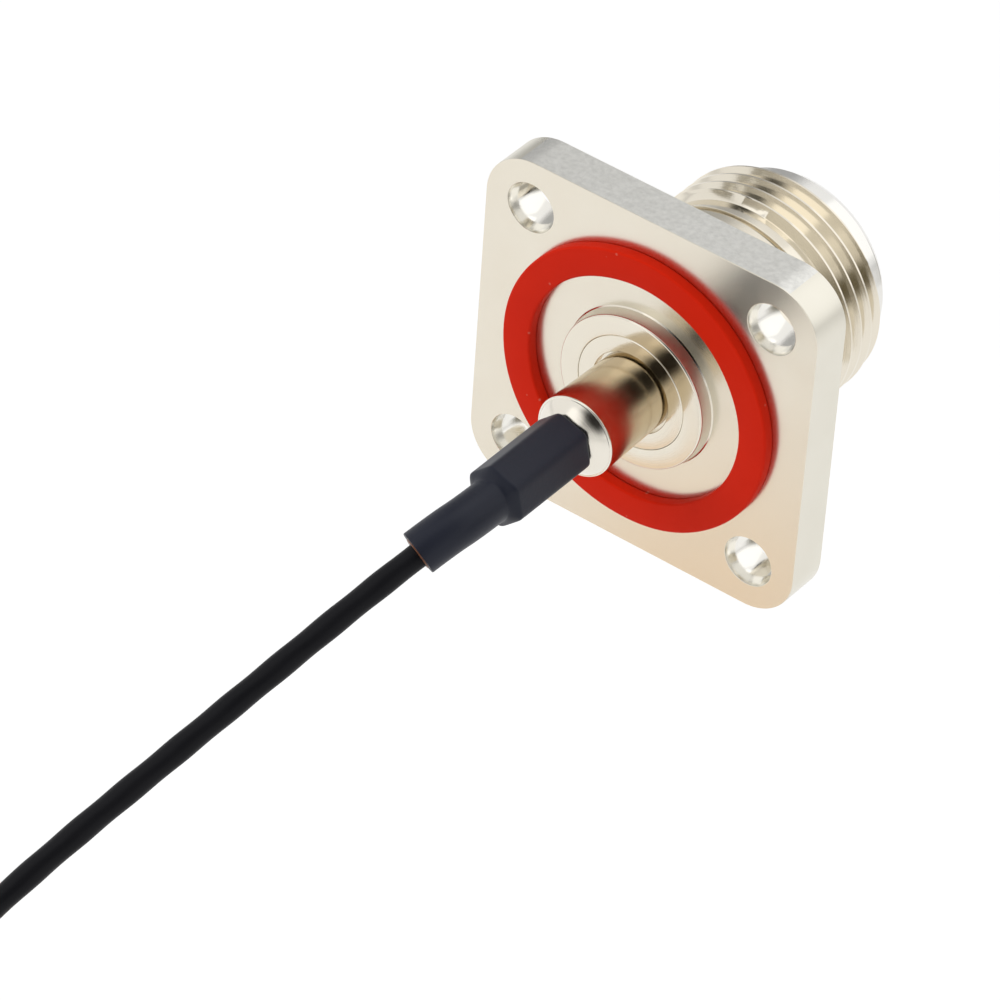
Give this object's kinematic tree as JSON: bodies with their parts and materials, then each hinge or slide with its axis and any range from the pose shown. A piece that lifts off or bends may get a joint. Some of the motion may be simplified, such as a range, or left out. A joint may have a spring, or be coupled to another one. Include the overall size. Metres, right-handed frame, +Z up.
{
  "type": "n type connector",
  "caption": "Square-flange coaxial panel jack with a threaded coupling barrel, a red sealing gasket and a short crimped lead that ends in a small push-on plug.",
  "frame": {"origin": "centre of the four-hole pattern on the flange's mounting face", "axes": "+Y along the mating axis out of the mouth, +Z up, the lead leaves along -Y"},
  "size_m": [0.0325, 0.0845, 0.0919],
  "materials": {
    "nickel_brass": "nickel plated, turned and milled, satin to bright",
    "red_silicone": "moulded, matt",
    "white_fluoropolymer": "turned, waxy",
    "gold_brass": "gold plated, bright",
    "black_shrink": "shrunk tube, satin",
    "amber_adhesive": "melted adhesive",
    "black_jacket": "extruded, satin",
    "tinned_copper": "tinned wire"
  },
  "bodies": {
    "root": {"flange_body": "nickel_brass", "panel_gasket": "red_silicone", "front_insulator": "white_fluoropolymer", "centre_contact": "gold_brass", "rear_bushing": "nickel_brass", "rear_sleeve": "nickel_brass", "sleeve_insulator": "white_fluoropolymer", "crimp_ferrule": "nickel_brass", "heat_shrink": "black_shrink", "shrink_lining": "amber_adhesive", "cable": "black_jacket", "cable_braid": "tinned_copper", "cable_dielectric": "white_fluoropolymer", "cable_conductor": "tinned_copper", "plug_shell": "gold_brass", "plug_insulator": "white_fluoropolymer", "plug_contact": "gold_brass"}
  },
  "joints": []
}
